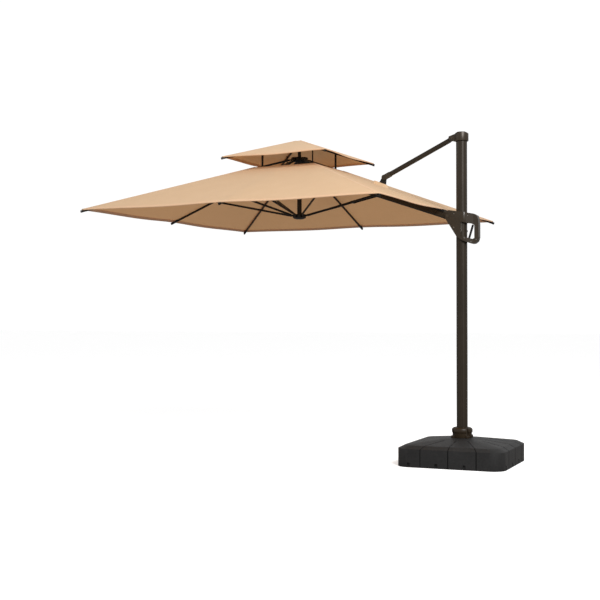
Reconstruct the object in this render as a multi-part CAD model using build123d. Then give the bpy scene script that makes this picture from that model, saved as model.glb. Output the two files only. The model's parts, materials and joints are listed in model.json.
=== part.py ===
from build123d import *
import math
import os

# Offset patio umbrella: a weighted square base, a turning mast, a sliding handle on the mast, a boom and strut
# that carry a square double-top canopy, and a runner that folds its ribs. Millimetres, +Z up.
# The origin is on the mast's axis at the floor. The canopy hangs out towards -X.

# ---- driving dimensions ------------------------------------------------------------------------------------
CANOPY_SIDE = 2740.0
MAST_TOP = 2757.0
HUB_REACH = CANOPY_SIDE / 2 + 162.0
HUB_HEIGHT = 2640.0
RIM_DROP = 528.0
BASE_SIDE = 890.0
BASE_TURN = 4.0

# base tank
TANK_SHOULDER = 147.0
TANK_CREST = 173.0
TANK_CENTRE_TOP = 213.0
TANK_CREST_INSET = 50.0
TANK_CORNER_R = 110.0
TANK_WALL = 4.0
TANK_TOP_HALF = 120.0
WELL_R = 66.0
NOTCH_W = 24.0
NOTCH_LOW = 8.0
NOTCH_HIGH = 38.0
NOTCH_DEPTH = 14.0
GROOVE_W = 10.0
GROOVE_DEPTH = 3.0
FILL_HOLE_R = 24.0
FILL_AT = 300.0
FILL_ASIDE = -80.0
CAP_HEAD_R = 32.0
PLATE_SIDE = 420.0
PLATE_T = 6.0

# turning joint between base and mast
MAST_R = 46.0
SPINDLE_R = 30.0
SPINDLE_WALL = 4.0
SPINDLE_TOP = TANK_CENTRE_TOP + 307.0
RUN_FIT = 0.05
COLLAR_R = MAST_R + 40.0
COLLAR_DOME_R = MAST_R + 16.0
COLLAR_Z = TANK_CENTRE_TOP + 1.0
COLLAR_H = 86.0
COLLAR_LIP = 6.0
COLLAR_RING = 40.0
COLLAR_BOLT_R = MAST_R + 32.0
BOLT_R = 5.0
MAST_FOOT = COLLAR_Z + 12.0

# mast
MAST_WALL = 3.5
FLUTES = 8
FLUTE_R = 3.6
BUSH_H = 40.0
GAP = 0.4

# cap on the mast and strut
CAP_R = MAST_R + 12.0
CAP_BOTTOM = MAST_TOP - 63.0
CAP_TOP_WALL = 10.0
CAP_NOSE = MAST_R + 60.0
CAP_NOSE_HALF = 31.0
STRUT_PIN_X = -MAST_R - 29.0
STRUT_PIN_Z = MAST_TOP - 35.0
STRUT_PIN_R = 6.0
STRUT_EYE_R = 17.0
STRUT_EYE_HALF = 16.0
STRUT_W = 28.0
STRUT_D = 40.0
STRUT_WALL = 2.5
FOOT_PIN_X = -700.0
FOOT_PIN_Z = HUB_HEIGHT - 210.0
FOOT_PIN_R = 5.0
FOOT_PIN_SLACK = 6.0
FORK_IN = 9.0
FORK_OUT = 18.0
FORK_R = 22.0

# slider with its D handle
SLIDER_HALF = MAST_R + 14.0
GRIP_HALF = 24.0
SLIDER_BORE_R = MAST_R + 3.5
LINER_R = MAST_R + 0.4
BOOM_PIN_X = -MAST_R - 59.0
BOOM_PIN_Z = HUB_HEIGHT - 573.0
BOOM_PIN_R = 8.0
BOOM_EYE_R = 23.0
BOOM_EYE_HALF = 20.0
BOOM_SLOT_HALF = 26.0
WINDOW_LEFT = 11.0
WINDOW_RIGHT = MAST_R + 72.0
GRIP_RIGHT = MAST_R + 108.0
TRIGGER_PIVOT = (MAST_R + 16.0, BOOM_PIN_Z - 199.0)
TRIGGER_TIP = (MAST_R + 51.0, BOOM_PIN_Z - 85.0)
TRIGGER_T = 13.0
TRIGGER_HALF = 9.0
TRUNNION_R = 4.0
CRANK_X = -16.0
CRANK_Z = BOOM_PIN_Z - 23.0
CRANK_HOUSING_R = 32.0
CRANK_HOUSING_L = 34.0
SPOOL_R = 16.0
CRANK_SHAFT_R = 6.0
CRANK_ARM_L = 95.0
KNOB_R = 14.0
KNOB_L = 62.0

# boom and hub
BOOM_W = 46.0
BOOM_D = 64.0
BOOM_WALL = 3.0
BOOM_CORNER_R = 14.0
HUB_DISC_R = 75.0
HUB_DISC_T = 30.0
POST_R = 20.5
POST_WALL = 2.0
CROWN_R = 40.0
CROWN_Z = HUB_HEIGHT + 150.0
CROWN_UP = 3.5
CROWN_DOWN = 11.0
CORD_R = 2.0
EAR_HALF = 8.0
RUNNER_R = 58.0
RUNNER_T = 34.0
RUNNER_PIN_R = 48.0
RUNNER_Z = HUB_HEIGHT - 512.0

# ribs
RIB_W = 11.0
RIB_D = 18.0
RIB_WALL = 1.2
RIB_OVERHANG = 15.0
MID_HINGE_R = 45.0
CORNER_HINGE_R = 62.0
TWIN_HINGE_X = 50.0
TWIN_HALF = 30.0
TWIN_BAR_W = 8.0
HINGE_PIN_R = 3.0
EYE_R = 8.0
EYE_T = 8.0
EYE_ARM = HUB_DISC_R - MID_HINGE_R + 5.0
BRACKET_DROP = 17.0
PLATE_THICK = 2.0
MID_BRACKET = 890.0
STRETCHER_D = 18.0
CLOSED_ANGLE = 83.0
VENT_HINGE_R = 30.0
VENT_HALF = 507.0
VENT_DROP = 172.0
LINK_RADIUS = 349.0
LINK_T = 7.0
LINK_W = 17.0

# fabric
CLOTH_T = 2.0
CLOTH_RISE = 2.0
VENT_HOLE_HALF = 320.0

CANOPY_HALF = CANOPY_SIDE / 2
HUB_X = -HUB_REACH
RIB_SLOPE = RIM_DROP / (CANOPY_HALF + RIB_OVERHANG - MID_HINGE_R)


# ---- small tools -------------------------------------------------------------------------------------------
def cyl(x, y, z0, z1, r):
    """An upright cylinder from z0 to z1."""
    return Pos(x, y, (z0 + z1) / 2) * Cylinder(r, z1 - z0)


def cross_pin(x, z, y0, y1, r):
    """A cylinder along Y."""
    return Pos(x, (y0 + y1) / 2, z) * Rot(90, 0, 0) * Cylinder(r, y1 - y0)


def slab(points, y0, y1):
    """An outline in the XZ plane, given thickness along Y."""
    face = make_face(Polyline([(x, 0, z) for x, z in points], close=True))
    return Pos(0, y0, 0) * extrude(face, amount=y1 - y0, dir=(0, 1, 0))


def along(p0, p1, section):
    """A section swept straight from p0 to p1, both (x, y, z): its local X is across, in Y, and its Y is depth."""
    start, end = Vector(*p0), Vector(*p1)
    plane = Plane(origin=start, x_dir=(0, 1, 0), z_dir=end - start)
    return extrude(plane * section, amount=(end - start).length)


def tube_section(width, depth, wall, corner):
    outer = RectangleRounded(width, depth, corner)
    return outer - RectangleRounded(width - 2 * wall, depth - 2 * wall, max(corner - wall, 0.3))


def polar(radius, angle):
    a = math.radians(angle)
    return radius * math.cos(a), radius * math.sin(a)


def square_shell(half_low, z_low, half_high, z_high, thickness, hole_half):
    """A four-sided tent of even thickness with a square hole at its top."""
    def tent(drop):
        low = Pos(0, 0, z_low - drop) * Rectangle(2 * half_low, 2 * half_low)
        high = Pos(0, 0, z_high - drop) * Rectangle(2 * half_high, 2 * half_high)
        return loft([low, high], ruled=True)
    shell = tent(0) - tent(thickness)
    if hole_half:
        shell -= Pos(0, 0, (z_low + z_high) / 2) * Box(2 * hole_half, 2 * hole_half, 4 * abs(z_high - z_low))
    return shell


def solids(*shapes):
    """One node made of separate solids."""
    found = []
    for s in shapes:
        found += list(s.solids())
    return Compound(children=found)


def at_hub(shape, azimuth):
    """Turns a piece made in the +X direction about the hub's axis, and puts it at the hub."""
    return Pos(HUB_X, 0, 0) * Rot(0, 0, azimuth) * shape


parts = {}

# ---- linkage geometry --------------------------------------------------------------------------------------
MID_SLOPE = math.degrees(math.atan(RIB_SLOPE))
CORNER_SPAN = math.sqrt(2) * (CANOPY_HALF + 8.0) - CORNER_HINGE_R
CORNER_SLOPE = math.degrees(math.atan2(RIM_DROP, CORNER_SPAN))
MID_LENGTH = math.hypot(CANOPY_HALF + RIB_OVERHANG - MID_HINGE_R, RIM_DROP)
CORNER_LENGTH = math.hypot(CORNER_SPAN, RIM_DROP)


def bracket_at(hinge_r, distance, angle):
    """The stretcher's pivot under a rib that slopes down by angle: radius and height."""
    a = math.radians(angle)
    return (hinge_r + distance * math.cos(a) - BRACKET_DROP * math.sin(a),
            HUB_HEIGHT - distance * math.sin(a) - BRACKET_DROP * math.cos(a))


def stretcher_length(hinge_r, distance, angle):
    r, z = bracket_at(hinge_r, distance, angle)
    return math.hypot(r - RUNNER_PIN_R, z - RUNNER_Z)


def closed_runner(hinge_r, distance, slope):
    """The runner's height when the rib hangs at the closed angle."""
    r, z = bracket_at(hinge_r, distance, CLOSED_ANGLE)
    return z - math.sqrt(stretcher_length(hinge_r, distance, slope) ** 2 - (r - RUNNER_PIN_R) ** 2)


def corner_bracket():
    """Where a corner rib's bracket sits, so that all the ribs close at one height of the runner."""
    target, low, high = closed_runner(MID_HINGE_R, MID_BRACKET, MID_SLOPE), 0.3 * MID_BRACKET, 1.3 * MID_BRACKET
    for _ in range(60):
        middle = (low + high) / 2
        if closed_runner(CORNER_HINGE_R, middle, CORNER_SLOPE) > target:
            low = middle
        else:
            high = middle
    return (low + high) / 2


CORNER_BRACKET = corner_bracket()
RUNNER_TRAVEL = closed_runner(MID_HINGE_R, MID_BRACKET, MID_SLOPE) - RUNNER_Z


def stretcher_angles(hinge_r, distance, slope):
    """The stretcher's climb from runner to bracket, open and closed, in degrees."""
    r0, z0 = bracket_at(hinge_r, distance, slope)
    r1, z1 = bracket_at(hinge_r, distance, CLOSED_ANGLE)
    return (math.degrees(math.atan2(z0 - RUNNER_Z, r0 - RUNNER_PIN_R)),
            math.degrees(math.atan2(z1 - RUNNER_Z - RUNNER_TRAVEL, r1 - RUNNER_PIN_R)))


# ---- base --------------------------------------------------------------------------------------------------
def tank_body(inset):
    """The tank's outer shape, or its inner one when inset is the wall."""
    def layer(half, z, corner):
        return Pos(0, 0, z) * RectangleRounded(2 * half, 2 * half, corner)
    half = BASE_SIDE / 2 - inset
    crest = BASE_SIDE / 2 - TANK_CREST_INSET - inset
    corner = TANK_CORNER_R - inset
    low, shoulder, top = inset, TANK_SHOULDER - inset, TANK_CREST - inset
    walls = extrude(layer(half, low, corner), amount=shoulder - low)
    bevel = loft([layer(half, shoulder, corner), layer(crest, top, corner * 0.8)], ruled=True)
    roof = loft([layer(crest, top, corner * 0.8),
                 layer(TANK_TOP_HALF - inset, TANK_CENTRE_TOP - inset, TANK_TOP_HALF / 3)], ruled=True)
    return walls + bevel + roof


def side_groove(offset):
    """One decorative groove up a side, over the bevel and in towards the centre."""
    half = BASE_SIDE / 2
    crest = half - TANK_CREST_INSET
    inner = TANK_TOP_HALF + 70
    lean = offset * (inner / half)
    up = Pos(half, offset, TANK_SHOULDER / 2) * Box(2 * GROOVE_DEPTH, GROOVE_W, TANK_SHOULDER)
    crest_y = offset * (crest / half)
    over = along((half + 1, offset, TANK_SHOULDER + 1), (crest - 2, crest_y, TANK_CREST + 1),
                 Rectangle(GROOVE_W, 2 * GROOVE_DEPTH))
    rise = (TANK_CENTRE_TOP - TANK_CREST) * (crest - inner) / (crest - TANK_TOP_HALF)
    inward = along((crest + 2, crest_y, TANK_CREST + 1), (inner, lean, TANK_CREST + rise + 1),
                   Rectangle(GROOVE_W, 2 * GROOVE_DEPTH))
    return up + over + inward


def foot_notch(offset, wall):
    """A hand-high pocket near the foot of a side, or the room that it and its wall take up inside."""
    height = NOTCH_HIGH - NOTCH_LOW + 2 * wall
    return (Pos(BASE_SIDE / 2, offset, (NOTCH_LOW + NOTCH_HIGH) / 2)
            * Box(2 * (NOTCH_DEPTH + wall), NOTCH_W + 2 * wall, height))


def roof_height(m):
    """The height of the tank's sloping top at a distance m from the centre, measured square to a side."""
    crest = BASE_SIDE / 2 - TANK_CREST_INSET
    return TANK_CREST + (TANK_CENTRE_TOP - TANK_CREST) * (crest - m) / (crest - TANK_TOP_HALF)


cap_seat = roof_height(FILL_AT - CAP_HEAD_R) + 1


def tank():
    shell = tank_body(0)
    fill = cyl(0, 0, 0, TANK_CENTRE_TOP + 20, WELL_R + TANK_WALL)
    cavity = tank_body(TANK_WALL + GROOVE_DEPTH) - fill
    for turn in (0, 90, 180, 270):
        for offset in (-0.52, 0.0, 0.52):
            cavity -= Rot(0, 0, turn) * foot_notch((offset - 0.22) * BASE_SIDE / 2, TANK_WALL)
    floor_top = PLATE_T + 1 + TANK_WALL
    cavity -= Pos(0, 0, floor_top / 2) * Box(PLATE_SIDE + 4 * TANK_WALL, PLATE_SIDE + 4 * TANK_WALL, floor_top)
    shell -= cavity
    shell -= cyl(0, 0, -1, TANK_CENTRE_TOP + 20, WELL_R)
    shell -= Pos(0, 0, PLATE_T / 2) * Box(PLATE_SIDE + 2, PLATE_SIDE + 2, PLATE_T + 1)
    half = BASE_SIDE / 2
    for turn in (0, 90, 180, 270):
        for offset in (-0.52, 0.0, 0.52):
            shell -= Rot(0, 0, turn) * side_groove(offset * half)
            shell -= Rot(0, 0, turn) * foot_notch((offset - 0.22) * half, 0)
    boss = cyl(FILL_ASIDE, FILL_AT, cap_seat - 30, cap_seat, CAP_HEAD_R + 2)
    shell += boss - tank_body(TANK_WALL + GROOVE_DEPTH)
    shell -= cyl(FILL_ASIDE, FILL_AT, TANK_CREST - 60, TANK_CENTRE_TOP + 20, FILL_HOLE_R)
    for k in range(4):
        x, y = polar(COLLAR_BOLT_R, 45 + 90 * k)
        shell -= cyl(x, y, TANK_CENTRE_TOP - 30, TANK_CENTRE_TOP + 20, BOLT_R)
    return shell, cavity


shell, cavity = tank()
parts["base_tank"] = Rot(0, 0, BASE_TURN) * shell
fill_top = TANK_SHOULDER - TANK_WALL - GROOVE_DEPTH - 2
ballast_low = TANK_WALL + GROOVE_DEPTH + PLATE_T + 8
ballast_half = BASE_SIDE / 2 - NOTCH_DEPTH - TANK_WALL - 1
ballast = Pos(0, 0, ballast_low) * extrude(
    RectangleRounded(2 * ballast_half, 2 * ballast_half, TANK_CORNER_R - NOTCH_DEPTH - TANK_WALL - 1),
    amount=fill_top - ballast_low)
ballast -= cyl(0, 0, 0, fill_top + 10, WELL_R + TANK_WALL + 1)
parts["ballast_fill"] = Rot(0, 0, BASE_TURN) * ballast


fill_cap = cyl(FILL_ASIDE, FILL_AT, cap_seat, cap_seat + 9, CAP_HEAD_R)
fill_cap += cyl(FILL_ASIDE, FILL_AT, cap_seat - 22, cap_seat, FILL_HOLE_R - 0.5)
fill_cap -= Pos(FILL_ASIDE, FILL_AT, cap_seat + 9) * Box(2 * CAP_HEAD_R, 7, 7)
parts["fill_cap"] = Rot(0, 0, BASE_TURN) * fill_cap

spindle = Pos(0, 0, PLATE_T / 2) * Box(PLATE_SIDE, PLATE_SIDE, PLATE_T)
spindle += cyl(0, 0, PLATE_T, SPINDLE_TOP, SPINDLE_R)
spindle -= cyl(0, 0, PLATE_T, SPINDLE_TOP + 1, SPINDLE_R - SPINDLE_WALL)
parts["base_spindle"] = Rot(0, 0, BASE_TURN) * spindle

collar_top = COLLAR_Z + COLLAR_H
body_r = COLLAR_R - COLLAR_LIP
ring_low = collar_top - COLLAR_RING
collar_profile = [(MAST_R + 1.5, COLLAR_Z), (body_r, COLLAR_Z), (body_r, ring_low - COLLAR_LIP), (COLLAR_R, ring_low),
                  (COLLAR_R, collar_top - 18), (COLLAR_R - 4, collar_top - 10), (COLLAR_R - 14, collar_top - 3),
                  (COLLAR_DOME_R, collar_top), (MAST_R + 1.5, collar_top)]
collar = revolve(make_face(Polyline([(r, 0, z) for r, z in collar_profile], close=True)), Axis.Z, 360)
for k in range(4):
    x, y = polar(COLLAR_BOLT_R, 45 + 90 * k)
    collar += cyl(x * 1.1, y * 1.1, COLLAR_Z, COLLAR_Z + 20, 16)
    collar -= cyl(x, y, COLLAR_Z + 12, collar_top + 1, 11)
    collar -= cyl(x, y, COLLAR_Z - 1, COLLAR_Z + 13, BOLT_R)
parts["base_collar"] = Rot(0, 0, BASE_TURN) * collar
bolts = []
for k in range(4):
    x, y = polar(COLLAR_BOLT_R, 45 + 90 * k)
    bolt_head = Pos(x, y, COLLAR_Z + 12) * extrude(RegularPolygon(8.5, 6), amount=8)
    bolts.append(cyl(x, y, COLLAR_Z - 25, COLLAR_Z + 12, BOLT_R - 0.02) + bolt_head)
parts["collar_bolts"] = Rot(0, 0, BASE_TURN) * solids(*bolts)

# ---- mast --------------------------------------------------------------------------------------------------
mast_face = Circle(MAST_R)
for k in range(FLUTES):
    x, y = polar(MAST_R + 1.4, 22.5 + 360 / FLUTES * k)
    mast_face -= Pos(x, y) * Circle(FLUTE_R)
mast_face -= Circle(MAST_R - MAST_WALL - 1)
parts["mast_tube"] = Pos(0, 0, MAST_FOOT) * extrude(mast_face, amount=MAST_TOP - MAST_FOOT)
bush_r = MAST_R - MAST_WALL - 1
bushes = []
for z in (MAST_FOOT, SPINDLE_TOP - 20 - BUSH_H):
    bushes.append(cyl(0, 0, z, z + BUSH_H, bush_r) - cyl(0, 0, z - 1, z + BUSH_H + 1, SPINDLE_R + RUN_FIT))
parts["mast_bushes"] = solids(*bushes)

cap_side = slab([(CAP_R, CAP_BOTTOM), (CAP_R, MAST_TOP - 4), (CAP_R - 16, MAST_TOP + CAP_TOP_WALL),
                 (-14, MAST_TOP + CAP_TOP_WALL), (-60, MAST_TOP - 6), (-CAP_NOSE + 4, STRUT_PIN_Z + 16),
                 (-CAP_NOSE, STRUT_PIN_Z), (-CAP_NOSE + 12, STRUT_PIN_Z - 16), (-CAP_R + 2, CAP_BOTTOM)],
                -CAP_R, CAP_R)
cap_plan = Circle(CAP_R) + Pos(-CAP_NOSE / 2, 0) * Rectangle(CAP_NOSE + 8, 2 * CAP_NOSE_HALF)
mast_cap = cap_side & (Pos(0, 0, CAP_BOTTOM - 5) * extrude(cap_plan, amount=100))
mast_cap -= cyl(0, 0, CAP_BOTTOM - 10, MAST_TOP, MAST_R)
slot_wall = -MAST_R - 8
mast_cap -= Pos((slot_wall - 150) / 2, 0, STRUT_PIN_Z) * Box(slot_wall + 150, 2 * (STRUT_EYE_HALF + GAP), 120)
mast_cap -= cross_pin(STRUT_PIN_X, STRUT_PIN_Z, -CAP_R, CAP_R, STRUT_PIN_R)
parts["mast_cap"] = mast_cap
parts["strut_pin"] = (cross_pin(STRUT_PIN_X, STRUT_PIN_Z, -CAP_NOSE_HALF, CAP_NOSE_HALF, STRUT_PIN_R)
                      + cross_pin(STRUT_PIN_X, STRUT_PIN_Z, -CAP_NOSE_HALF - 4, -CAP_NOSE_HALF, STRUT_PIN_R + 4)
                      + cross_pin(STRUT_PIN_X, STRUT_PIN_Z, CAP_NOSE_HALF, CAP_NOSE_HALF + 4, STRUT_PIN_R + 4))

# ---- strut -------------------------------------------------------------------------------------------------
top_pin, foot_pin = Vector(STRUT_PIN_X, 0, STRUT_PIN_Z), Vector(FOOT_PIN_X, 0, FOOT_PIN_Z)
strut_dir = (foot_pin - top_pin).normalized()
strut_len = (foot_pin - top_pin).length


def on_strut(s):
    return tuple(top_pin + strut_dir * s)


strut_face = tube_section(STRUT_W, STRUT_D, STRUT_WALL, 10)
for side in (-1, 1):
    for y in (-8, 0, 8):
        strut_face -= Pos(side * STRUT_W / 2, y) * Circle(1.1)
TUBE_START, TUBE_END = 34.0, 62.0
parts["strut_tube"] = along(on_strut(TUBE_START), on_strut(strut_len - TUBE_END), strut_face)
plug = RectangleRounded(STRUT_W - 2 * STRUT_WALL - 4, STRUT_D - 2 * STRUT_WALL - 4, 6)
top_fitting = cross_pin(STRUT_PIN_X, STRUT_PIN_Z, -STRUT_EYE_HALF, STRUT_EYE_HALF, STRUT_EYE_R)
top_fitting += along(on_strut(0), on_strut(TUBE_START), Rectangle(2 * STRUT_EYE_HALF, 2 * STRUT_EYE_R - 4))
top_fitting += along(on_strut(TUBE_START - 1), on_strut(TUBE_START + 45), plug)
top_fitting -= cross_pin(STRUT_PIN_X, STRUT_PIN_Z, -40, 40, STRUT_PIN_R + RUN_FIT)
foot_fitting = along(on_strut(strut_len - TUBE_END), on_strut(strut_len), Rectangle(2 * FORK_OUT, 2 * FORK_R - 4))
foot_fitting += cross_pin(FOOT_PIN_X, FOOT_PIN_Z, -FORK_OUT, FORK_OUT, FORK_R)
foot_fitting += along(on_strut(strut_len - TUBE_END - 45), on_strut(strut_len - TUBE_END + 1), plug)
foot_fitting -= along(on_strut(strut_len - 40), on_strut(strut_len + 60), Rectangle(2 * FORK_IN, 120))
foot_fitting += cross_pin(FOOT_PIN_X, FOOT_PIN_Z, -FORK_OUT - 3, FORK_OUT + 3, FOOT_PIN_R)
parts["strut_fittings"] = solids(top_fitting, foot_fitting)

# ---- slider ------------------------------------------------------------------------------------------------
S = Vector(BOOM_PIN_X, 0, BOOM_PIN_Z)
slider_low = TRIGGER_PIVOT[1] - 40
outline = [(x, BOOM_PIN_Z + up) for x, up in (
    (BOOM_PIN_X - 19, -23), (BOOM_PIN_X - 25, 3), (BOOM_PIN_X - 8, 41), (BOOM_PIN_X + 12, 47),
           (40, 25), (GRIP_RIGHT - 44, 12), (GRIP_RIGHT - 14, -5), (GRIP_RIGHT - 4, -33),
           (GRIP_RIGHT, -77), (GRIP_RIGHT, -187), (GRIP_RIGHT - 10, -219), (GRIP_RIGHT - 34, slider_low + 2 - BOOM_PIN_Z),
           (GRIP_RIGHT - 56, slider_low - BOOM_PIN_Z), (70, -229), (24, -211), (-26, -177))]
window = [(x, BOOM_PIN_Z + up) for x, up in (
    (WINDOW_LEFT, -175), (WINDOW_LEFT, -55), (88, -68), (WINDOW_RIGHT, -83), (WINDOW_RIGHT, -191),
          (WINDOW_RIGHT - 14, -199), (54, -187))]
plan = (Pos(-60, 0) * RectangleRounded(228, 2 * SLIDER_HALF, 26)
        + make_face(Polyline([(24, -SLIDER_HALF + 4), (GRIP_RIGHT - 44, -GRIP_HALF - 4), (GRIP_RIGHT + 6, -GRIP_HALF),
                              (GRIP_RIGHT + 6, GRIP_HALF), (GRIP_RIGHT - 44, GRIP_HALF + 4), (24, SLIDER_HALF - 4)], close=True)))
px_low = TRIGGER_PIVOT[1] - 18
housing = slab(outline, -SLIDER_HALF, SLIDER_HALF) & (Pos(0, 0, BOOM_PIN_Z - 367) * extrude(plan, amount=600))
housing -= slab(window, -SLIDER_HALF - 1, SLIDER_HALF + 1)
housing -= cyl(0, 0, BOOM_PIN_Z - 367, BOOM_PIN_Z + 233, SLIDER_BORE_R)
housing -= Pos((BOOM_PIN_X - 60 - SLIDER_BORE_R - 4) / 2, 0, BOOM_PIN_Z) * Box(
    abs(BOOM_PIN_X - 60 + SLIDER_BORE_R + 4), 2 * BOOM_SLOT_HALF, 150)
housing -= cross_pin(BOOM_PIN_X, BOOM_PIN_Z, -80, 80, BOOM_PIN_R)
housing -= slab([(49, px_low), (49, px_low + 50), (82, px_low + 50), (82, px_low)], -TRIGGER_HALF - 0.5, TRIGGER_HALF + 0.5)
housing -= cross_pin(*TRIGGER_PIVOT, -18, 18, TRUNNION_R + RUN_FIT)
housing -= cross_pin(CRANK_X, CRANK_Z, 30, 80, CRANK_SHAFT_R + 1)
screw_places = [(x, BOOM_PIN_Z + up) for x, up in ((-47, 14), (67, -5), (-50, -99), (34, -199), (92, -221), (134, -205))]
screws = []
for x, z in screw_places:
    half = SLIDER_HALF
    if x > 24:
        half = max(GRIP_HALF + 1, SLIDER_HALF - 4 - (x - 24) * (SLIDER_HALF - GRIP_HALF - 8) / (GRIP_RIGHT - 68))
    for side in (-1, 1):
        screws.append(cross_pin(x, z, *sorted((side * (half - 8), side * (half + 1.6))), 4.2))
for s in screws:
    housing -= s
parts["slider_shell_near"] = housing & (Pos(0, -100, BOOM_PIN_Z - 67) * Box(600, 200, 800))
parts["slider_shell_far"] = housing & (Pos(0, 100, BOOM_PIN_Z - 67) * Box(600, 200, 800))
parts["slider_screws"] = solids(*screws)
liner = cyl(0, 0, BOOM_PIN_Z - 137, BOOM_PIN_Z + 11, SLIDER_BORE_R) - cyl(0, 0, BOOM_PIN_Z - 167, BOOM_PIN_Z + 33, LINER_R)
liner -= slab(window, -SLIDER_HALF, SLIDER_HALF)
parts["slider_liner"] = liner
parts["boom_pin"] = (cross_pin(BOOM_PIN_X, BOOM_PIN_Z, -SLIDER_HALF, SLIDER_HALF, BOOM_PIN_R)
                     + cross_pin(BOOM_PIN_X, BOOM_PIN_Z, SLIDER_HALF, SLIDER_HALF + 4, BOOM_PIN_R + 5)
                     + cross_pin(BOOM_PIN_X, BOOM_PIN_Z, -SLIDER_HALF - 4, -SLIDER_HALF, BOOM_PIN_R + 5))
px, pz = TRIGGER_PIVOT
trigger = along((px, 0, pz), (TRIGGER_TIP[0], 0, TRIGGER_TIP[1]), Rectangle(2 * TRIGGER_HALF, TRIGGER_T))
trigger += cross_pin(px, pz, -TRIGGER_HALF, TRIGGER_HALF, TRIGGER_T / 2)
trigger += cross_pin(*TRIGGER_TIP, -TRIGGER_HALF, TRIGGER_HALF, TRIGGER_T / 2)
trigger += cross_pin(px, pz, -17, 17, TRUNNION_R)
parts["trigger"] = trigger
housing_y = SLIDER_HALF
crank_cup = cross_pin(CRANK_X, CRANK_Z, housing_y, housing_y + CRANK_HOUSING_L, CRANK_HOUSING_R)
crank_cup -= cross_pin(CRANK_X, CRANK_Z, housing_y - 1, housing_y + CRANK_HOUSING_L - 4, CRANK_HOUSING_R - 3)
crank_cup -= cross_pin(CRANK_X, CRANK_Z, housing_y, housing_y + 80, CRANK_SHAFT_R + RUN_FIT)
parts["crank_housing"] = crank_cup
spool_y0, spool_y1 = housing_y + 2, housing_y + CRANK_HOUSING_L - 6
spool = cross_pin(CRANK_X, CRANK_Z, spool_y0, spool_y1, SPOOL_R)
for y in (spool_y0, spool_y1 - 3):
    spool += cross_pin(CRANK_X, CRANK_Z, y, y + 3, SPOOL_R + 8)
arm_y = housing_y + CRANK_HOUSING_L + 2
spool += cross_pin(CRANK_X, CRANK_Z, spool_y1, arm_y, CRANK_SHAFT_R)
parts["cord_spool"] = spool
arm_end = (CRANK_X, CRANK_Z - CRANK_ARM_L)
arm = slab([(CRANK_X - 9, CRANK_Z), (CRANK_X + 9, CRANK_Z), (CRANK_X + 7, arm_end[1]), (CRANK_X - 7, arm_end[1])],
           arm_y, arm_y + 8)
arm += cross_pin(CRANK_X, CRANK_Z, arm_y, arm_y + 8, 14)
arm += cross_pin(*arm_end, arm_y, arm_y + 8, 10)
arm += cross_pin(*arm_end, arm_y + 8, arm_y + 8 + KNOB_L + 3, 4)
parts["crank_arm"] = arm
knob = cross_pin(*arm_end, arm_y + 9, arm_y + 9 + KNOB_L, KNOB_R)
knob = fillet(knob.edges().filter_by(GeomType.CIRCLE), 4)
knob -= cross_pin(*arm_end, arm_y, arm_y + 100, 4 + RUN_FIT)
parts["crank_knob"] = knob

# ---- boom, hub and runner ----------------------------------------------------------------------------------
HEAD_X = HUB_X + POST_R + 16.0
HEAD_Z = HUB_HEIGHT - 95.0
head = Vector(HEAD_X, 0, HEAD_Z)
boom_dir = (head - S).normalized()
boom_len = (head - S).length


def on_boom(s):
    return tuple(S + boom_dir * s)


BOOM_START = 44.0
parts["boom_tube"] = along(on_boom(BOOM_START), on_boom(boom_len), tube_section(BOOM_W, BOOM_D, BOOM_WALL, BOOM_CORNER_R))
tenon = RectangleRounded(BOOM_W - 2 * BOOM_WALL, BOOM_D - 2 * BOOM_WALL, BOOM_CORNER_R - BOOM_WALL)
root = cross_pin(BOOM_PIN_X, BOOM_PIN_Z, -BOOM_EYE_HALF, BOOM_EYE_HALF, BOOM_EYE_R)
root += along(on_boom(0), on_boom(BOOM_START), Rectangle(2 * BOOM_EYE_HALF, 2 * BOOM_EYE_R - 6))
root += along(on_boom(BOOM_START - 14), on_boom(BOOM_START), RectangleRounded(BOOM_W + 4, BOOM_D + 4, BOOM_CORNER_R))
root += along(on_boom(BOOM_START - 1), on_boom(BOOM_START + 70), tenon)
root -= cross_pin(BOOM_PIN_X, BOOM_PIN_Z, -60, 60, BOOM_PIN_R + RUN_FIT)

hub_low = HUB_HEIGHT - HUB_DISC_T / 2
hub_high = HUB_HEIGHT + HUB_DISC_T / 2
hub = cyl(HUB_X, 0, hub_low, hub_high, HUB_DISC_R)
hub += slab([(HUB_X - 26, hub_low), (HUB_X - 26, HEAD_Z - 40), (HEAD_X, HEAD_Z - 40), (HEAD_X, hub_low)],
            -BOOM_W / 2, BOOM_W / 2)
hub += along(on_boom(boom_len - 90), on_boom(boom_len + 10), tenon)
hub += slab([(HEAD_X - 1, HEAD_Z + 38), (HEAD_X + 70, HEAD_Z + 16), (HEAD_X + 50, hub_low), (HEAD_X - 1, hub_low)],
            -BOOM_W / 2 + 6, BOOM_W / 2 - 6)
hub -= along(on_boom(boom_len - 200), on_boom(boom_len),
             tube_section(BOOM_W + 8, BOOM_D, BOOM_WALL + 4.001, BOOM_CORNER_R))
slot_half = EYE_T / 2 + GAP


def hinge_slot(hinge_x, offset):
    """The slot and pin hole for one rib's eye, made in the +X direction."""
    return (Pos(hinge_x - EYE_R - 3 + 50, offset, HUB_HEIGHT) * Box(100, 2 * slot_half, HUB_DISC_T + 2))


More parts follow.
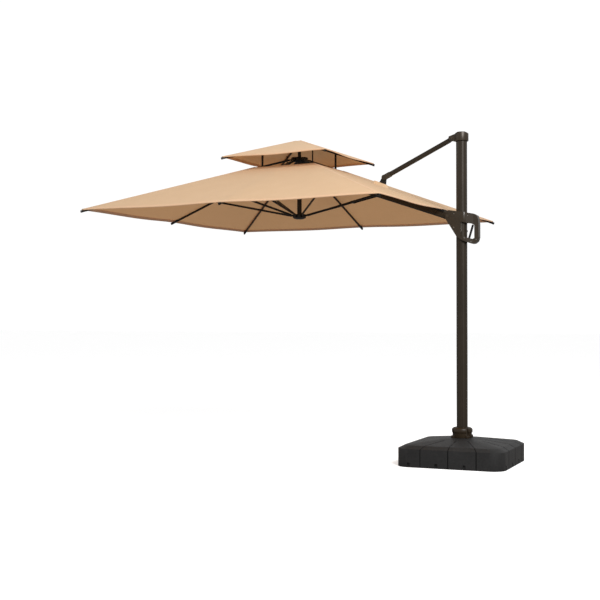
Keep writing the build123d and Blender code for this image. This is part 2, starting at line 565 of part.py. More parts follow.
for azimuth in range(0, 360, 45):
    corner = azimuth % 90 != 0
    hinge = CORNER_HINGE_R if corner else MID_HINGE_R
    if azimuth == 0:
        for y in (-TWIN_HALF, TWIN_HALF):
            hub -= at_hub(hinge_slot(TWIN_HINGE_X, y), 0)
            hub += at_hub(cross_pin(TWIN_HINGE_X, HUB_HEIGHT, y - slot_half - 1, y + slot_half + 1, HINGE_PIN_R), 0)
    else:
        hub -= at_hub(hinge_slot(hinge, 0), azimuth)
        hub += at_hub(cross_pin(hinge, HUB_HEIGHT, -slot_half - 1, slot_half + 1, HINGE_PIN_R), azimuth)
post_top = HEAD_Z - 40 + 20
hub -= cyl(HUB_X, 0, post_top - 60, post_top, POST_R)

runner_top = RUNNER_Z + RUNNER_T / 2
cord_path = FilletPolyline([(HUB_X, 0, runner_top + 1), (HUB_X, 0, HEAD_Z + 4), on_boom(BOOM_START + 80)], radius=16)
cord_plane = Plane(origin=cord_path @ 0, z_dir=cord_path % 0)
parts["lift_cord"] = sweep(cord_plane * Circle(CORD_R), path=cord_path)
hub -= sweep(cord_plane * Circle(CORD_R + 1), path=cord_path)
parts["main_hub"] = hub
parts["boom_root"] = root
parts["centre_post"] = cyl(HUB_X, 0, runner_top + 2, post_top, POST_R) - cyl(HUB_X, 0, 0, 3000, POST_R - POST_WALL)

saddle_s = (Vector(FOOT_PIN_X, 0, FOOT_PIN_Z) - S).dot(boom_dir)
saddle = along(on_boom(saddle_s - 70), on_boom(saddle_s + 70), Pos(0, 0) * Rectangle(BOOM_W, 12))
up = Vector(0, 1, 0).cross(boom_dir)
up = up if up.Z > 0 else -up
saddle = saddle.move(Location(up * (BOOM_D / 2 + 6)))
foot = Vector(FOOT_PIN_X, 0, FOOT_PIN_Z)
seat = S + boom_dir * saddle_s + up * (BOOM_D / 2 + 6)
ear_corners = [seat - boom_dir * 45, seat + boom_dir * 45, foot + boom_dir * 18, foot - boom_dir * 18]
ear = slab([(c.X, c.Z) for c in ear_corners], -EAR_HALF, EAR_HALF)
ear += cross_pin(FOOT_PIN_X, FOOT_PIN_Z, -EAR_HALF, EAR_HALF, FORK_R - 3)
ear -= cross_pin(FOOT_PIN_X, FOOT_PIN_Z, -30, 30, FOOT_PIN_R + FOOT_PIN_SLACK)
parts["strut_bracket"] = saddle + ear

parts["crown_post"] = cyl(HUB_X, 0, hub_high, CROWN_Z - CROWN_DOWN, 15)
crown = cyl(HUB_X, 0, CROWN_Z - CROWN_DOWN, CROWN_Z + CROWN_UP, CROWN_R)
for azimuth in range(45, 360, 90):
    crown -= at_hub(Pos(VENT_HINGE_R - EYE_R - 2 + 50, 0, CROWN_Z) * Box(100, 2 * slot_half, 3 * CROWN_DOWN), azimuth)
    crown += at_hub(cross_pin(VENT_HINGE_R, CROWN_Z, -slot_half - 1, slot_half + 1, HINGE_PIN_R), azimuth)
parts["crown"] = crown

runner = cyl(HUB_X, 0, RUNNER_Z - RUNNER_T / 2, runner_top, RUNNER_R)
for azimuth in range(0, 360, 45):
    runner -= at_hub(Pos(RUNNER_PIN_R - EYE_R - 6 + 50, 0, RUNNER_Z) * Box(100, EYE_T + 3, RUNNER_T + 2), azimuth)
parts["runner"] = runner


# ---- ribs and stretchers -----------------------------------------------------------------------------------
def down(hinge_r, hinge_z, slope, distance, drop=0.0):
    """A point on a rib that slopes down from its hinge: distance along it and drop below its axis."""
    a = math.radians(slope)
    return (hinge_r + distance * math.cos(a) - drop * math.sin(a), 0,
            hinge_z - distance * math.sin(a) - drop * math.cos(a))


def bar_with_eye(hinge_r, hinge_z, slope, length, width, y):
    """A rib's tube with the eye of its hinge and the cap on its tip."""
    def at(distance):
        x, _, z = down(hinge_r, hinge_z, slope, distance)
        return x, y, z
    eye = cross_pin(hinge_r, hinge_z, y - EYE_T / 2, y + EYE_T / 2, EYE_R)
    eye += along(at(0), at(EYE_ARM), Rectangle(EYE_T, 2 * EYE_R - 3))
    eye -= cross_pin(hinge_r, hinge_z, y - 20, y + 20, HINGE_PIN_R + RUN_FIT)
    inner_w, inner_d = width - 2 * RIB_WALL, RIB_D - 2 * RIB_WALL
    eye += along(at(EYE_ARM - 1), at(EYE_ARM + 26), Rectangle(inner_w, inner_d))
    bar = along(at(EYE_ARM), at(length - 18), tube_section(width, RIB_D, RIB_WALL, 2))
    tip = along(at(length - 18), at(length), RectangleRounded(width + 4, RIB_D + 2, 3))
    tip += along(at(length - 40), at(length - 17), Rectangle(inner_w, inner_d))
    return [eye, bar, tip]


def stretcher_bracket(hinge_r, slope, distance, y, width):
    """Two plates on a rib's sides with a pin for the stretcher."""
    pivot = down(hinge_r, HUB_HEIGHT, slope, distance, BRACKET_DROP)
    plates = []
    for side in (-1, 1):
        y0 = y + side * width / 2
        y1 = y0 + side * PLATE_THICK
        lo, hi = min(y0, y1), max(y0, y1)
        corners = [down(hinge_r, HUB_HEIGHT, slope, distance - 18, -RIB_D / 2 + 2),
                   down(hinge_r, HUB_HEIGHT, slope, distance + 18, -RIB_D / 2 + 2),
                   down(hinge_r, HUB_HEIGHT, slope, distance + 7, BRACKET_DROP + 7),
                   down(hinge_r, HUB_HEIGHT, slope, distance - 7, BRACKET_DROP + 7)]
        plates.append(slab([(c[0], c[2]) for c in corners], lo, hi))
    # the twin rib's pins end flush on the boom's side
    low = y - width / 2 - PLATE_THICK - (2 if y <= 0 else 0)
    high = y + width / 2 + PLATE_THICK + (2 if y >= 0 else 0)
    pin = cross_pin(pivot[0], pivot[2], low, high, HINGE_PIN_R)
    return [plates[0] + plates[1] + pin]


def stretcher(hinge_r, slope, distance, twin):
    """The bar from the runner to a rib's bracket, with an eye at each end. The twin one forks round the boom."""
    x, _, z = down(hinge_r, HUB_HEIGHT, slope, distance, BRACKET_DROP)
    length = math.hypot(x - RUNNER_PIN_R, z - RUNNER_Z)
    def at(s, y=0.0):
        t = s / length
        return RUNNER_PIN_R + t * (x - RUNNER_PIN_R), y, RUNNER_Z + t * (z - RUNNER_Z)
    inner_eye = cross_pin(RUNNER_PIN_R, RUNNER_Z, -EYE_T / 2 + 1, EYE_T / 2 - 1, 6)
    inner_eye += along(at(0), at(34), Rectangle(EYE_T - 2, 11))
    section = tube_section(RIB_W - 1, STRETCHER_D, RIB_WALL, 2)
    plug_size = Rectangle(RIB_W - 1 - 2 * RIB_WALL, STRETCHER_D - 2 * RIB_WALL)
    inner_eye += along(at(33), at(60), plug_size)
    if not twin:
        outer_eye = cross_pin(x, z, -EYE_T / 2, EYE_T / 2, EYE_R - 1)
        outer_eye += along(at(length - 26), at(length), Rectangle(EYE_T, 2 * EYE_R - 4))
        outer_eye -= cross_pin(x, z, -20, 20, HINGE_PIN_R + RUN_FIT)
        outer_eye += along(at(length - 52), at(length - 25), plug_size)
        return [inner_eye, along(at(34), at(length - 26), section), outer_eye]
    split = 0.58 * length
    yoke = along(at(split - 27), at(split), plug_size)
    yoke += along(at(split), at(split + 16), Rectangle(2 * TWIN_HALF + TWIN_BAR_W, STRETCHER_D))
    for side in (-1, 1):
        y = side * TWIN_HALF
        yoke += along(at(split + 15, y), at(length, y), Rectangle(TWIN_BAR_W - 2, STRETCHER_D - 2))
        yoke += cross_pin(x, z, y - TWIN_BAR_W / 2 + 1, y + TWIN_BAR_W / 2 - 1, EYE_R - 1)
    yoke -= cross_pin(x, z, -80, 80, HINGE_PIN_R + RUN_FIT)
    return [inner_eye, along(at(34), at(split), section), yoke]


TWIN_BRACKET = MID_BRACKET - (TWIN_HINGE_X - MID_HINGE_R) / math.cos(math.radians(MID_SLOPE))
RIB_NAMES = {0: "boom_side", 45: "right_back_corner", 90: "back", 135: "left_back_corner",
             180: "outer_side", 225: "left_front_corner", 270: "front", 315: "right_front_corner"}
for azimuth, name in RIB_NAMES.items():
    corner = azimuth % 90 != 0
    if azimuth == 0:
        length = MID_LENGTH - 5
        pieces = []
        for y in (-TWIN_HALF, TWIN_HALF):
            pieces += bar_with_eye(TWIN_HINGE_X, HUB_HEIGHT, MID_SLOPE, length, TWIN_BAR_W, y)
            pieces += stretcher_bracket(TWIN_HINGE_X, MID_SLOPE, TWIN_BRACKET, y, TWIN_BAR_W)
        stay = stretcher(TWIN_HINGE_X, MID_SLOPE, TWIN_BRACKET, True)
    else:
        hinge, slope = (CORNER_HINGE_R, CORNER_SLOPE) if corner else (MID_HINGE_R, MID_SLOPE)
        length = CORNER_LENGTH if corner else MID_LENGTH
        distance = CORNER_BRACKET if corner else MID_BRACKET
        pieces = bar_with_eye(hinge, HUB_HEIGHT, slope, length, RIB_W, 0)
        pieces += stretcher_bracket(hinge, slope, distance, 0, RIB_W)
        if corner:
            link_d = (LINK_RADIUS - hinge) / math.cos(math.radians(slope))
            lx, _, lz = down(hinge, HUB_HEIGHT, slope, link_d)
            pieces.append(cross_pin(lx, lz, RIB_W / 2, RIB_W / 2 + LINK_T + 3, HINGE_PIN_R))
        stay = stretcher(hinge, slope, distance, False)
    parts["rib_" + name] = at_hub(solids(*pieces), azimuth)
    parts["stretcher_" + name] = at_hub(solids(*stay), azimuth)

# ---- vent ribs and links -----------------------------------------------------------------------------------
VENT_REACH = math.sqrt(2) * VENT_HALF + 8 - VENT_HINGE_R
VENT_SLOPE = math.degrees(math.atan2(VENT_DROP, VENT_REACH))
VENT_LENGTH = math.hypot(VENT_REACH, VENT_DROP)
MAIN_LINK_D = (LINK_RADIUS - CORNER_HINGE_R) / math.cos(math.radians(CORNER_SLOPE))
VENT_LINK_D = (LINK_RADIUS - VENT_HINGE_R) / math.cos(math.radians(VENT_SLOPE))
link_low = down(CORNER_HINGE_R, HUB_HEIGHT, CORNER_SLOPE, MAIN_LINK_D)
link_high = down(VENT_HINGE_R, CROWN_Z, VENT_SLOPE, VENT_LINK_D)
LINK_LENGTH = link_high[2] - link_low[2]


def closed_vent():
    """The vent rib's slope and the link's lean when the main ribs hang closed."""
    main = down(CORNER_HINGE_R, HUB_HEIGHT, CLOSED_ANGLE, MAIN_LINK_D)
    low, high = VENT_SLOPE, 89.0
    for _ in range(60):
        middle = (low + high) / 2
        top = down(VENT_HINGE_R, CROWN_Z, middle, VENT_LINK_D)
        if math.hypot(top[0] - main[0], top[2] - main[2]) > LINK_LENGTH:
            low = middle
        else:
            high = middle
    top = down(VENT_HINGE_R, CROWN_Z, low, VENT_LINK_D)
    return low, math.degrees(math.atan2(top[0] - main[0], top[2] - main[2]))


VENT_CLOSED, LINK_LEAN = closed_vent()
for azimuth in range(45, 360, 90):
    name = RIB_NAMES[azimuth].replace("_corner", "")
    pieces = bar_with_eye(VENT_HINGE_R, CROWN_Z, VENT_SLOPE, VENT_LENGTH, RIB_W - 1, 0)
    parts["vent_rib_" + name] = at_hub(solids(*pieces), azimuth)
    y0 = RIB_W / 2 + 0.5
    link = slab([(LINK_RADIUS - LINK_W / 2, link_low[2]), (LINK_RADIUS + LINK_W / 2, link_low[2]),
                 (LINK_RADIUS + LINK_W / 2, link_high[2]), (LINK_RADIUS - LINK_W / 2, link_high[2])], y0, y0 + LINK_T)
    link += cross_pin(LINK_RADIUS, link_low[2], y0, y0 + LINK_T, LINK_W / 2)
    link += cross_pin(LINK_RADIUS, link_high[2], y0, y0 + LINK_T, LINK_W / 2)
    link -= cross_pin(LINK_RADIUS, link_low[2], 0, 30, HINGE_PIN_R + RUN_FIT)
    link += cross_pin(LINK_RADIUS, link_high[2], y0 + LINK_T, y0 + LINK_T + 3, HINGE_PIN_R + 2)
    parts["vent_link_" + name] = at_hub(link, azimuth)

# ---- fabric ------------------------------------------------------------------------------------------------
def cloth_height(m):
    """The underside of the main canopy at a distance m from the hub's axis, measured square to a side."""
    return HUB_HEIGHT - RIB_SLOPE * (m - MID_HINGE_R) + RIB_D / 2 / math.cos(math.radians(MID_SLOPE)) + CLOTH_RISE


main_cloth = square_shell(CANOPY_HALF, cloth_height(CANOPY_HALF) + CLOTH_T,
                          VENT_HOLE_HALF - 20, cloth_height(VENT_HOLE_HALF - 20) + CLOTH_T, CLOTH_T, VENT_HOLE_HALF)
slit = Pos(FOOT_PIN_X - HUB_X, 0, HUB_HEIGHT - 250) * Box(2 * FORK_R + 150, 2 * FORK_OUT + 8, 400)
parts["main_canopy"] = Pos(HUB_X, 0, 0) * (main_cloth - slit)
vent_slope = VENT_DROP / (VENT_HALF - VENT_HINGE_R)
vent_low = CROWN_Z - VENT_DROP + (RIB_D + 2) / 2 + CLOTH_RISE + CLOTH_T + 1.5
vent_cloth = square_shell(VENT_HALF, vent_low, 30, vent_low + vent_slope * (VENT_HALF - 30), CLOTH_T, 0)
parts["vent_canopy"] = Pos(HUB_X, 0, 0) * vent_cloth

# ---- write -------------------------------------------------------------------------------------------------
os.makedirs("parts", exist_ok=True)
for name, shape in parts.items():
    export_step(shape, f"parts/{name}.step")
print(len(parts), "nodes written")
print("slopes", round(MID_SLOPE, 3), round(CORNER_SLOPE, 3), "corner bracket", round(CORNER_BRACKET, 2))
print("runner travel", round(RUNNER_TRAVEL, 3), "stretchers",
      [round(a, 3) for a in stretcher_angles(MID_HINGE_R, MID_BRACKET, MID_SLOPE)],
      [round(a, 3) for a in stretcher_angles(CORNER_HINGE_R, CORNER_BRACKET, CORNER_SLOPE)])
print("vent", round(VENT_SLOPE, 3), round(VENT_CLOSED, 3), "lean", round(LINK_LEAN, 3), "link", round(LINK_LENGTH, 2))
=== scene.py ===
import bpy
import json
import math
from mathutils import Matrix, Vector


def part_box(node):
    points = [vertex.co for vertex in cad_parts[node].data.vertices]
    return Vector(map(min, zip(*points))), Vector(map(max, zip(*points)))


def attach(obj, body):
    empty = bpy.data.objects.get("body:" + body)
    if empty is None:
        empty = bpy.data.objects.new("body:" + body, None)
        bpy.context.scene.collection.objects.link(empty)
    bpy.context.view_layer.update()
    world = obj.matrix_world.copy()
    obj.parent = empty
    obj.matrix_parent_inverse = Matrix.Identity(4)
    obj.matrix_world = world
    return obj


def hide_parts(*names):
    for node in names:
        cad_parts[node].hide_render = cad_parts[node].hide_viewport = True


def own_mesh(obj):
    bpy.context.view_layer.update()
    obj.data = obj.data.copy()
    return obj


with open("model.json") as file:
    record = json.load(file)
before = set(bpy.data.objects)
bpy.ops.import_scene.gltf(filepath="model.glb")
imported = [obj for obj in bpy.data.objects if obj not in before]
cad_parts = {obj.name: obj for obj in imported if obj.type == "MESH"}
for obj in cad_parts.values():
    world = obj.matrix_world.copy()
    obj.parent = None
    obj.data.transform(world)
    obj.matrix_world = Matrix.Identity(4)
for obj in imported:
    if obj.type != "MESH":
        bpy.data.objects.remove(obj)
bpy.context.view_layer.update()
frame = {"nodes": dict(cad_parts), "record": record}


# ---- finishes ---------------------------------------------------------------------------------------------
# Shader sums are written as Python expressions on Wire, which wraps one socket.
# Every finish is worked out from the object's own coordinates, so it moves with the piece it is on.
class Wire:
    def __init__(self, tree, socket):
        self.tree, self.socket = tree, socket

    def math(self, operation, *values):
        node = self.tree.nodes.new("ShaderNodeMath")
        node.operation = operation
        for slot, value in zip(node.inputs, values):
            if isinstance(value, Wire):
                self.tree.links.new(value.socket, slot)
            else:
                slot.default_value = value
        return Wire(self.tree, node.outputs[0])

    def __add__(self, other): return self.math("ADD", self, other)
    def __sub__(self, other): return self.math("SUBTRACT", self, other)
    def __mul__(self, other): return self.math("MULTIPLY", self, other)
    def __gt__(self, other): return self.math("GREATER_THAN", self, other)
    def sine(self): return self.math("SINE", self)
    def absolute(self): return self.math("ABSOLUTE", self)
    def clamped(self): return self.math("MINIMUM", self.math("MAXIMUM", self, 0.0), 1.0)

    def into(self, slot): self.tree.links.new(self.socket, slot)

    def blend(self, low, high):
        node = self.tree.nodes.new("ShaderNodeMix")
        node.data_type = "RGBA"
        self.into(node.inputs["Factor"])
        node.inputs["A"].default_value = (*low, 1)
        node.inputs["B"].default_value = (*high, 1)
        return Wire(self.tree, node.outputs["Result"])


class Finish:
    """A new material with its coordinates at hand."""
    def __init__(self, name):
        self.material = bpy.data.materials.new(name)
        self.material.use_nodes = True
        self.tree = self.material.node_tree
        self.shader = self.tree.nodes["Principled BSDF"]
        self.place = self.tree.nodes.new("ShaderNodeTexCoord").outputs["Object"]
        split = self.tree.nodes.new("ShaderNodeSeparateXYZ")
        self.tree.links.new(self.place, split.inputs[0])
        self.x, self.y, self.z = (Wire(self.tree, s) for s in split.outputs)

    def noise(self, scale, detail=3.0):
        node = self.tree.nodes.new("ShaderNodeTexNoise")
        node.inputs["Scale"].default_value = scale
        node.inputs["Detail"].default_value = detail
        self.tree.links.new(self.place, node.inputs["Vector"])
        return Wire(self.tree, node.outputs["Fac"])

    def edges(self):
        return Wire(self.tree, self.tree.nodes.new("ShaderNodeNewGeometry").outputs["Pointiness"])

    def bump(self, height, depth, strength=1.0):
        node = self.tree.nodes.new("ShaderNodeBump")
        node.inputs["Distance"].default_value = depth
        node.inputs["Strength"].default_value = strength
        height.into(node.inputs["Height"])
        self.tree.links.new(node.outputs["Normal"], self.shader.inputs["Normal"])
        return node

    def colour(self, amount, low, high):
        amount.blend(low, high).into(self.shader.inputs["Base Color"])

    def rough(self, amount):
        amount.into(self.shader.inputs["Roughness"])

    def gloss(self, specular, metallic=0.0):
        self.shader.inputs["Specular IOR Level"].default_value = specular
        self.shader.inputs["Metallic"].default_value = metallic


bronze = Finish("bronze_powder_coat")
mottle = bronze.noise(5.0) * 0.7 + bronze.noise(160.0) * 0.3
bronze.colour(mottle, (0.017, 0.0120, 0.0070), (0.034, 0.0245, 0.0150))
bronze.rough(bronze.noise(30.0) * 0.16 + 0.30)
bronze.gloss(0.35, metallic=0.3)
bronze.bump(bronze.noise(900.0, 2.0), 0.00025, 0.4)

casting = Finish("bronze_casting")
worn = ((casting.edges() - 0.56) * 8.0).clamped()
casting.colour(worn * 0.6 + casting.noise(12.0) * 0.4, (0.026, 0.0185, 0.0115), (0.075, 0.057, 0.038))
casting.rough(casting.noise(40.0) * 0.14 + 0.30)
casting.gloss(0.35, metallic=0.25)
casting.bump(casting.noise(600.0, 4.0), 0.0004, 0.45)

moulding = Finish("bronze_moulding")
worn = ((moulding.edges() - 0.56) * 7.0).clamped()
moulding.colour(worn * 0.5 + moulding.noise(9.0) * 0.5, (0.019, 0.0130, 0.0078), (0.056, 0.042, 0.027))
moulding.rough(moulding.noise(25.0) * 0.12 + 0.26)
moulding.gloss(0.3)
moulding.shader.inputs["Coat Weight"].default_value = 0.15
moulding.shader.inputs["Coat Roughness"].default_value = 0.2
moulding.bump(moulding.noise(450.0, 3.0), 0.0003, 0.35)

collar_finish = Finish("collar_moulding")
worn = ((collar_finish.edges() - 0.55) * 6.0).clamped()
mottle = collar_finish.noise(14.0) * 0.6 + worn * 0.4
collar_finish.colour(mottle, (0.013, 0.0082, 0.0040), (0.042, 0.027, 0.0135))
collar_finish.rough(collar_finish.noise(30.0) * 0.15 + 0.30)
collar_finish.gloss(0.22)
collar_finish.bump(collar_finish.noise(500.0, 3.0), 0.0003, 0.35)

# The tank's skin: pressed channels up each side and in over the top, with painted shade inside them and a
# painted highlight along their lips.
# The tank is turned a little on the floor, and its channels run towards its middle.
tank_turn = math.radians(4)
tank_skin = Finish("tank_skin")
across = (tank_skin.x * math.cos(tank_turn) + tank_skin.y * math.sin(tank_turn)).absolute()
along = (tank_skin.y * math.cos(tank_turn) - tank_skin.x * math.sin(tank_turn)).absolute()
far = across.math("MAXIMUM", across, along)
near = across.math("MINIMUM", across, along)
gap = near.math("MINIMUM", near, (near - far * 0.52).absolute())
pressed = far > 0.19
# painted shade: the colour is darkened inside each pressed channel, where shade falls
channel_painted_shade = (gap * -500.0 + 3.0).clamped() * pressed
# painted highlight: a lighter line is painted along the lips of each channel
lip_painted_highlight = ((gap - 0.0072).absolute() * -600.0 + 1.0).clamped() * pressed
dust = (tank_skin.noise(6.0, 6.0) * tank_skin.noise(70.0, 4.0) * 2.2).clamped()
scuffed = ((tank_skin.edges() - 0.57) * 8.0).clamped()
shade = (dust * 0.35 + scuffed * 0.2 + 0.35) * (channel_painted_shade * -0.92 + 1.0) + lip_painted_highlight * 0.35
tank_skin.colour(shade.clamped(), (0.0015, 0.0015, 0.0016), (0.034, 0.0335, 0.0335))
tank_skin.rough(dust * 0.2 + 0.40)
tank_skin.gloss(0.16)
tank_skin.bump(tank_skin.noise(420.0, 3.0) + tank_skin.noise(1400.0, 2.0) * 0.4, 0.0006, 0.5)

black_steel = Finish("black_powder_coat")
black_steel.colour(black_steel.noise(18.0), (0.004, 0.004, 0.004), (0.012, 0.011, 0.010))
black_steel.rough(black_steel.noise(60.0) * 0.2 + 0.34)
black_steel.gloss(0.3, metallic=0.1)
black_steel.bump(black_steel.noise(1100.0, 2.0), 0.0002, 0.4)

nylon_black = Finish("black_nylon")
nylon_black.colour(nylon_black.noise(22.0, 5.0), (0.005, 0.005, 0.0055), (0.016, 0.0155, 0.0155))
nylon_black.rough(nylon_black.noise(35.0) * 0.18 + 0.40)
nylon_black.gloss(0.3)
nylon_black.bump(nylon_black.noise(800.0, 2.0), 0.0003, 0.35)

zinc = Finish("zinc_plate")
zinc.colour(zinc.noise(90.0, 5.0), (0.24, 0.23, 0.22), (0.42, 0.41, 0.39))
zinc.rough(zinc.noise(50.0) * 0.2 + 0.24)
zinc.shader.inputs["Metallic"].default_value = 1.0
zinc.bump(zinc.noise(1500.0, 2.0), 0.0001, 0.4)

nylon = Finish("natural_nylon")
nylon.colour(nylon.noise(25.0), (0.55, 0.53, 0.47), (0.68, 0.66, 0.60))
nylon.rough(nylon.noise(60.0) * 0.15 + 0.42)
nylon.bump(nylon.noise(600.0), 0.0002, 0.3)

grip = Finish("grip_rubber")
grip.colour(grip.noise(40.0), (0.010, 0.010, 0.010), (0.030, 0.029, 0.028))
grip.rough(grip.noise(80.0) * 0.15 + 0.62)
grip.bump((grip.x * 1400.0).sine() * (grip.y * 1400.0).sine() * 0.5 + 0.5, 0.0006, 0.5)

braid = Finish("braided_cord")
over = (braid.z * 1900.0 + braid.x * 2600.0).sine()
under = (braid.z * 1900.0 - braid.y * 2600.0).sine()
plait = over * under * 0.5 + 0.5
braid.colour(plait, (0.03, 0.03, 0.03), (0.10, 0.10, 0.095))
braid.rough(braid.noise(200.0) * 0.1 + 0.75)
braid.bump(plait, 0.0006, 0.6)


def cloth_finish(name, low, high, glow, tint):
    """Plain-woven polyester: warp and weft over a faint slub, with a little light coming through."""
    made = Finish(name)
    thread = 4200.0
    warp = ((made.x * thread).sine() * 0.5 + 0.5) * (made.y * (thread * 0.5)).sine().absolute()
    weft = ((made.y * thread).sine() * 0.5 + 0.5) * (made.x * (thread * 0.5)).sine().absolute()
    weave = warp + weft
    slub = made.noise(7.0, 6.0) * 0.55 + made.noise(240.0, 2.0) * 0.25 + weave * 0.10
    made.colour(slub.clamped(), low, high)
    made.rough(made.noise(50.0) * 0.1 + 0.82)
    made.gloss(0.25)
    made.shader.inputs["Sheen Weight"].default_value = 0.15
    relief = made.bump(weave * 0.12 + made.noise(3.2, 3.0), 0.006, 0.35)
    through = made.tree.nodes.new("ShaderNodeBsdfTranslucent")
    through.inputs["Color"].default_value = (*tint, 1)
    made.tree.links.new(relief.outputs["Normal"], through.inputs["Normal"])
    mixer = made.tree.nodes.new("ShaderNodeMixShader")
    mixer.inputs[0].default_value = glow
    made.tree.links.new(made.shader.outputs[0], mixer.inputs[1])
    made.tree.links.new(through.outputs[0], mixer.inputs[2])
    made.tree.links.new(mixer.outputs[0], made.tree.nodes["Material Output"].inputs["Surface"])
    return made


cloth = cloth_finish("beige_polyester", (0.70, 0.475, 0.275), (0.83, 0.585, 0.36), 0.31, (1.0, 0.50, 0.20))
vent_cloth = cloth_finish("beige_vent", (0.67, 0.46, 0.27), (0.79, 0.56, 0.345), 0.17, (0.95, 0.48, 0.20))
# The hem, seam tapes and boot share a lighter copy of the cloth: painted light, lifted to offset the shade
# that gathers in the folded hem along the rim.
hem_cloth = cloth_finish("beige_hem", (0.74, 0.52, 0.32), (0.87, 0.64, 0.42), 0.31, (1.0, 0.62, 0.36))

# ---- the metal and plastic pieces -------------------------------------------------------------------------
# The tubes, castings and mouldings keep their own shapes and get their finishes here.
# Cast and moulded ones also get the soft edges that a mould leaves.
finishes = {
    "tank_plastic": tank_skin, "ballast": grip, "black_plastic": nylon_black, "bronze_aluminium": bronze,
    "bronze_casting": casting, "bronze_plastic": moulding, "black_steel": black_steel, "bare_steel": zinc,
    "galvanised": black_steel, "nylon": nylon, "grip_rubber": grip, "cord": braid, "canopy_cloth": cloth}
own_finishes = {"base_collar": collar_finish, "boom_pin": casting, "strut_pin": casting}
soft_edges = {
    "base_tank": 0.007, "base_collar": 0.004, "slider_shell_near": 0.006, "slider_shell_far": 0.006,
    "mast_cap": 0.008, "boom_root": 0.003, "strut_fittings": 0.003, "main_hub": 0.003, "trigger": 0.003,
    "crank_housing": 0.004, "crank_arm": 0.002, "runner": 0.004, "fill_cap": 0.002}
for entry in frame["record"]["subparts"]:
    node = frame["nodes"][entry["node"]]
    chosen = own_finishes.get(entry["node"], finishes[entry["material_slot"]])
    node.data.materials.clear()
    node.data.materials.append(chosen.material)
for name, width in soft_edges.items():
    node = frame["nodes"][name]
    weld = node.modifiers.new("weld", "WELD")
    weld.merge_threshold = 0.00005
    bevel = node.modifiers.new("soft_edges", "BEVEL")
    bevel.width = width
    bevel.segments = 3
    bevel.limit_method = "ANGLE"
    bevel.angle_limit = math.radians(28)
    bevel.use_clamp_overlap = True
    bevel.harden_normals = True

# ---- main canopy ------------------------------------------------------------------------------------------
# One stretched square cover with sewn hips. It is cut halfway between the ribs, so that each stretch follows
# its own rib. Heights come from the cover's own box.
cloth_thick = 0.002
low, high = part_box("main_canopy")
hub_x = (low[0] + high[0]) / 2
rim = (high[1] - low[1]) / 2
# the solid cover stops at 0.320 from the hub, and the sewn one reaches a little further in under the vent
hole = 0.300
solid_hole = 0.320
pitch = (high[2] - low[2] - cloth_thick) / (rim - solid_hole)
rim_z = low[2] + cloth_thick


def on_square(m, angle):
    """The plan position in the direction angle on the square that reaches m to each side."""
    reach = max(abs(math.cos(angle)), abs(math.sin(angle)))
    return m / reach * math.cos(angle), m / reach * math.sin(angle)


def cover(x, y, lift=0.0):
    """A point on the main cover over plan position x, y from the hub: it sags a little between the ribs."""
    m = max(abs(x), abs(y))
    sag = 0.011 * math.sin(4 * math.atan2(y, x)) ** 2 * (m / rim) ** 1.5
    return Vector((hub_x + x, y, rim_z + pitch * (rim - m) - sag + lift))


def outward(surface, x, y):
    """The surface's normal over x, y, from four points close by."""
    step = 0.004
    across = surface(x + step, y) - surface(x - step, y)
    along = surface(x, y + step) - surface(x, y - step)
    return across.cross(along).normalized()


def sheet_grid(name, columns, rows, place, surface=None):
    """A grid from -1 to 1 each way, laid out by place(u, v), which gives a plan position or a point."""
    bpy.ops.mesh.primitive_grid_add(x_subdivisions=columns, y_subdivisions=rows, size=2)
    piece = bpy.context.object
    piece.name = name
    normals = []
    for vertex in piece.data.vertices:
        spot = place(-vertex.co.x, vertex.co.y)
        if surface:
            normals.append(outward(surface, *spot))
            spot = surface(*spot)
        vertex.co = spot
    bpy.ops.object.shade_smooth()
    if normals:
        piece.data.normals_split_custom_set_from_vertices(normals)
    return piece


ribs = {"boom_side": 0, "right_back_corner": 45, "back": 90, "left_back_corner": 135, "outer_side": 180,
        "left_front_corner": 225, "front": 270, "right_front_corner": 315}
strut_slit = (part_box("strut_bracket")[0][0] - hub_x - 0.004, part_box("strut_bracket")[1][0] - hub_x + 0.004)
# out from the middle of the boom's side: the slit's edge, each bar of the twin rib, and the gathering line
slit_half = 0.018
twin_rib = 0.030
gathered_at = 0.034
half_stretch = 22.5
rim_bow = 0.005
pocket_length = 0.062
pocket_radius = 0.0125
